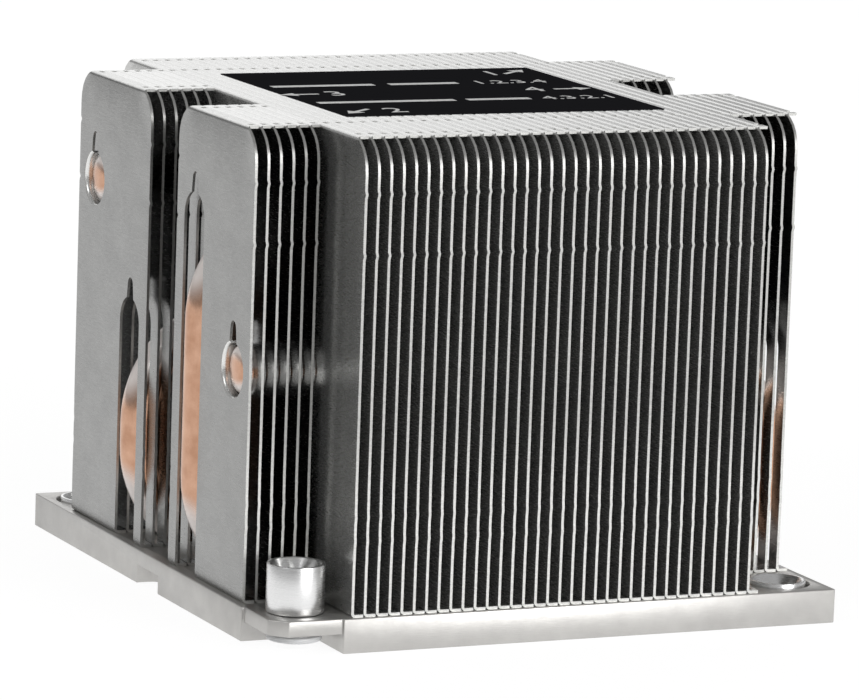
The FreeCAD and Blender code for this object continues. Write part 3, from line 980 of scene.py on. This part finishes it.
def makeBase():
    # the plate with its sharp edges broken, in metres throughout
    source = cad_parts["base_plate"]
    bm = bmesh.new()
    bm.from_mesh(source.data)
    bmesh.ops.remove_doubles(bm, verts=bm.verts, dist=plate["mergeWithin"])
    flat = math.radians(plate["flatWithin"])
    bmesh.ops.dissolve_limit(bm, angle_limit=flat, verts=bm.verts, edges=bm.edges)
    piece = newPiece("base", plainMesh(bm, "base"))
    breakEdges = piece.modifiers.new("edges", "BEVEL")
    breakEdges.width = plate["edgeBreak"] * mm
    breakEdges.segments = plate["breakSegments"]
    breakEdges.limit_method = "ANGLE"
    breakEdges.angle_limit = math.radians(plate["breakAngle"])
    made = evaluated(piece, "base")
    dressed = addPiece("milled_base", made, plateMaterial, "cooler", plate["smooth"])
    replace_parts(dressed, "base_plate")
    print("base plate:", len(made.polygons), "faces")


nuts = {
    "tallOver": 7.0,  # a nut longer than this is a tall one
    "headHeight": (6.2, 2.7),  # of a tall and a low nut
    "socketDepth": (3.4, 1.9),
    "head": 7.3,
    "sink": 6.5,
    "sinkDepth": 1.4,
    "bore": 3.4,
    "lobes": 6,
    "lobeOut": 4.7,
    "lobeIn": 3.5,
    "lobeRound": 0.8,  # below 1, the lobes are fuller
    "socketBreak": 0.12,
    "shank": 5.0,
    "groove": 4.3,
    "grooveEnd": 0.02,  # how far the groove reaches past its ring
    "threadPitch": 0.7,
    "threadDepth": 0.224,
    "threadSteps": 4,
    "threadEnd": 0.15,  # how far the thread ends below the socket's floor
    "leadIn": (0.25, 0.2),  # at the bore's lower end, outwards and upwards
    "points": 72,
    "smooth": 32,
    # edges, each point as its distance inwards and along the axis
    "shankEdge": ((0.3, 0.0), (0.05, 0.1), (0.0, 0.2)),
    "headEdge": ((0.3, 0.0), (0.08, 0.08), (0.0, 0.3)),
    "topEdge": ((0.0, 0.12), (0.04, 0.03), (0.12, 0.0)),
    "sinkEdge": ((-0.12, 0.0), (-0.02, 0.03), (0.06, 0.12)),
}


def lobed(angle):
    # the star socket's radius
    wave = 0.5 + 0.5 * math.cos(nuts["lobes"] * angle)
    return (nuts["lobeIn"] + (nuts["lobeOut"] - nuts["lobeIn"]) * wave ** nuts["lobeRound"]) / 2


def threadAt(z):
    # the bore's radius with its thread, at a height
    def radius(angle):
        turn = (z / nuts["threadPitch"] - angle / (2 * math.pi)) % 1
        return nuts["bore"] / 2 + nuts["threadDepth"] * abs(2 * turn - 1)
    return radius


def nutProfile(low, high, ringLow, ringHigh):
    # radius and height of each ring, from the thread's lower end round the outside and back down the bore
    kind = 0 if high - low > nuts["tallOver"] else 1
    headBottom, socketFloor = high - nuts["headHeight"][kind], high - nuts["socketDepth"][kind]
    head, shank, groove, bore, sink = (nuts[k] / 2 for k in ("head", "shank", "groove", "bore", "sink"))
    grooveLow, grooveHigh = ringLow - nuts["grooveEnd"], ringHigh + nuts["grooveEnd"]
    leadOut, leadUp = nuts["leadIn"]
    seat, seatBreak = high - nuts["sinkDepth"], nuts["socketBreak"]
    profile = [(bore + leadOut, low)]
    profile += [(shank - inwards, low + along) for inwards, along in nuts["shankEdge"]]
    profile += [(shank, grooveLow), (groove, grooveLow), (groove, grooveHigh), (shank, grooveHigh)]
    profile.append((shank, headBottom))
    profile += [(head - inwards, headBottom + along) for inwards, along in nuts["headEdge"]]
    profile += [(head - inwards, high - along) for inwards, along in nuts["topEdge"]]
    profile += [(sink - inwards, high - along) for inwards, along in nuts["sinkEdge"]]
    profile += [(lambda angle: lobed(angle) + seatBreak, seat), (lobed, seat - seatBreak)]
    threadTop = socketFloor - nuts["threadEnd"]
    profile += [(lobed, socketFloor), (bore, threadTop)]
    for step in range(1, int((threadTop - low - leadUp) / nuts["threadPitch"] * nuts["threadSteps"])):
        z = threadTop - step * nuts["threadPitch"] / nuts["threadSteps"]
        profile.append((threadAt(z), z))
    return profile


def makeNut(corner):
    node = f"nut_{corner}"
    low, high = boxOf(node)
    x, y = (low.x + high.x) / 2, (low.y + high.y) / 2
    ringLow, ringHigh = boxOf(f"ring_{corner}")
    count = nuts["points"]
    profile = nutProfile(low.z, high.z, ringLow.z, ringHigh.z)
    bm = bmesh.new()
    rows = ringLoops(bm, [levelRing(x, y, z, radius, count) for radius, z in profile])
    for k in range(count):
        after = (k + 1) % count
        bm.faces.new((rows[-1][k], rows[-1][after], rows[0][after], rows[0][k]))
    bmesh.ops.recalc_face_normals(bm, faces=bm.faces)
    mesh = meshFrom(bm, "nut")
    piece = addPiece(f"captive_{node}", mesh, steelMaterial, node, nuts["smooth"])
    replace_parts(piece, node)


rings = {
    "play": 0.06,  # between the nut's groove and the ring
    "bevel": 0.1,  # of the inner edges
    "soft": 0.22,  # rounding of the outer edges
    "softMiddle": 0.3,  # how far the rounding's middle point stands in, as a share of it
    "points": 56,
    "smooth": 40,
}


def makeRing(corner):
    low, high = boxOf(f"ring_{corner}")
    x, y = (low.x + high.x) / 2, (low.y + high.y) / 2
    outer = (high.x - low.x) / 2
    inner = nuts["groove"] / 2 + rings["play"]
    bevel, soft = rings["bevel"], rings["soft"]
    near = soft * rings["softMiddle"]
    profile = [(inner, low.z + bevel), (inner + bevel, low.z), (outer - soft, low.z),
               (outer - near, low.z + near), (outer, low.z + soft), (outer, high.z - soft),
               (outer - near, high.z - near), (outer - soft, high.z), (inner + bevel, high.z),
               (inner, high.z - bevel), (inner, low.z + bevel)]
    loops = [levelRing(x, y, z, radius, rings["points"]) for radius, z in profile]
    mesh = closedRound(loops, "ring")
    body = f"clip_{corner}"
    piece = addPiece(f"keeper_{corner}", mesh, nylonMaterial, body, rings["smooth"])
    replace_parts(piece, f"ring_{corner}")


label = {
    "film": 0.07,
    "corner": 0.15,
    "cornerSteps": 5,
    "ink": 0.02,
    "numeral": 5.6,
    "numeralSteps": 4,
    "bar": 1.5,
    "arrow": 5.4,
    "arrowHalf": 0.32,
    "barb": 2.2,
    "barbHalf": 1.25,
    # all places as shares of the label's width and depth
    "bars": ((0.035, 0.36, 0.672), (0.41, 0.63, 0.672), (0.03, 0.46, 0.295), (0.50, 0.70, 0.295)),
    "arrows": ((0.915, 0.9, 40), (0.05, 0.489, 180), (0.925, 0.489, 0), (0.075, 0.10, 220)),
    "numbers": (("1", 0.83, 0.877, 1), ("3", 0.165, 0.489, 1), ("4", 0.80, 0.489, 1), ("2", 0.19, 0.10, 1),
                ("1.2.3.4", 0.80, 0.672, 0.72), ("4.3.2.1", 0.86, 0.295, 0.72)),
}


def plank(bm, corners, low, high):
    # a flat prism over corners in the plane
    bottom = [bm.verts.new((x, y, low)) for x, y in corners]
    top = [bm.verts.new((x, y, high)) for x, y in corners]
    bm.faces.new(list(reversed(bottom)))
    bm.faces.new(top)
    for k in range(len(corners)):
        after = (k + 1) % len(corners)
        bm.faces.new((bottom[k], bottom[after], top[after], top[k]))


def numeral(text, x, y, size, low, high):
    curve = bpy.data.curves.new(f"numeral_{text}", "FONT")
    curve.body = text
    curve.size = size * mm
    curve.extrude = (high - low) / 2 * mm
    curve.align_x = "CENTER"
    curve.align_y = "CENTER"
    curve.resolution_u = label["numeralSteps"]
    mesh = evaluated(newPiece("numeral", curve), "numeral")
    mesh.transform(Matrix.Translation((x * mm, y * mm, (low + high) / 2 * mm)))
    return mesh


def arrow(bm, x, y, angle, low, high):
    way = Vector((math.cos(math.radians(angle)), math.sin(math.radians(angle))))
    side = Vector((-way.y, way.x))
    middle = Vector((x, y))
    tail, tip = middle - way * label["arrow"] / 2, middle + way * label["arrow"] / 2
    neck = tip - way * label["barb"]
    shaft, barb = side * label["arrowHalf"], side * label["barbHalf"]
    plank(bm, [tail - shaft, neck - shaft, neck + shaft, tail + shaft], low, high)
    plank(bm, [neck - barb, tip, neck + barb], low, high)


def makeLabel():
    low, high = boxOf("top_label")
    filmTop = low.z + label["film"]
    inkTop = min(filmTop + label["ink"], high.z)
    turn = label["corner"]
    left, right, front, rear = low.x + turn, high.x - turn, low.y + turn, high.y - turn
    corners = []
    for x, y, first in ((right, rear, 0), (left, rear, 90), (left, front, 180), (right, front, 270)):
        corners += arcPoints(x, y, turn, first, first + 90, label["cornerSteps"])
    bm = bmesh.new()
    plank(bm, corners, low.z, filmTop)
    film = addPiece("label_film", meshFrom(bm, "film"), filmMaterial, "cooler", smooth=0)
    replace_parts(film, "top_label")

    def spot(u, v):
        return low.x + (high.x - low.x) * u, low.y + (high.y - low.y) * v

    bm = bmesh.new()
    half = label["bar"] / 2
    for first, last, v in label["bars"]:
        x0, y = spot(first, v)
        x1, _ = spot(last, v)
        plank(bm, [(x0, y - half), (x1, y - half), (x1, y + half), (x0, y + half)], filmTop, inkTop)
    for u, v, angle in label["arrows"]:
        arrow(bm, *spot(u, v), angle, filmTop, inkTop)
    meshes = [meshFrom(bm, "marks")]
    for text, u, v, scale in label["numbers"]:
        meshes.append(numeral(text, *spot(u, v), label["numeral"] * scale, filmTop, inkTop))
    marks = joinMeshes("label_print", meshes)
    addPiece("label_print", marks, printMaterial, "cooler", smooth=0)
    print("label: film and print")


makeCamera()
makeStage()
sheetMaterial = rolledSheet("rolled_aluminium")
litCopyMaterial = rolledSheet("lit_copy_aluminium")
innerMaterial = rolledSheet("inner_aluminium")
rimHighlightMaterial = rolledSheet("highlight_rim")
edgeMaterial = shearedEdge()
copperMaterial = drawnCopper()
plateMaterial, steelMaterial, nylonMaterial, filmMaterial, printMaterial = (
    startMaterial(name, finishes[name])[0]
    for name in ("milled_aluminium", "polished_steel", "clear_nylon", "label_film", "label_print")
)
print("materials:", len(sheets) + len(finishes))
acrossTree = rowTree()
makeFullFins()
makeSideFins()
makeCollars()
makeRims()
makePipes()
makeBase()
for corner in ("front_left", "front_right", "rear_left", "rear_right"):
    makeNut(corner)
    makeRing(corner)
print("nuts and rings: 4 of each")
makeLabel()

bpy.context.scene.view_settings.view_transform = "Standard"
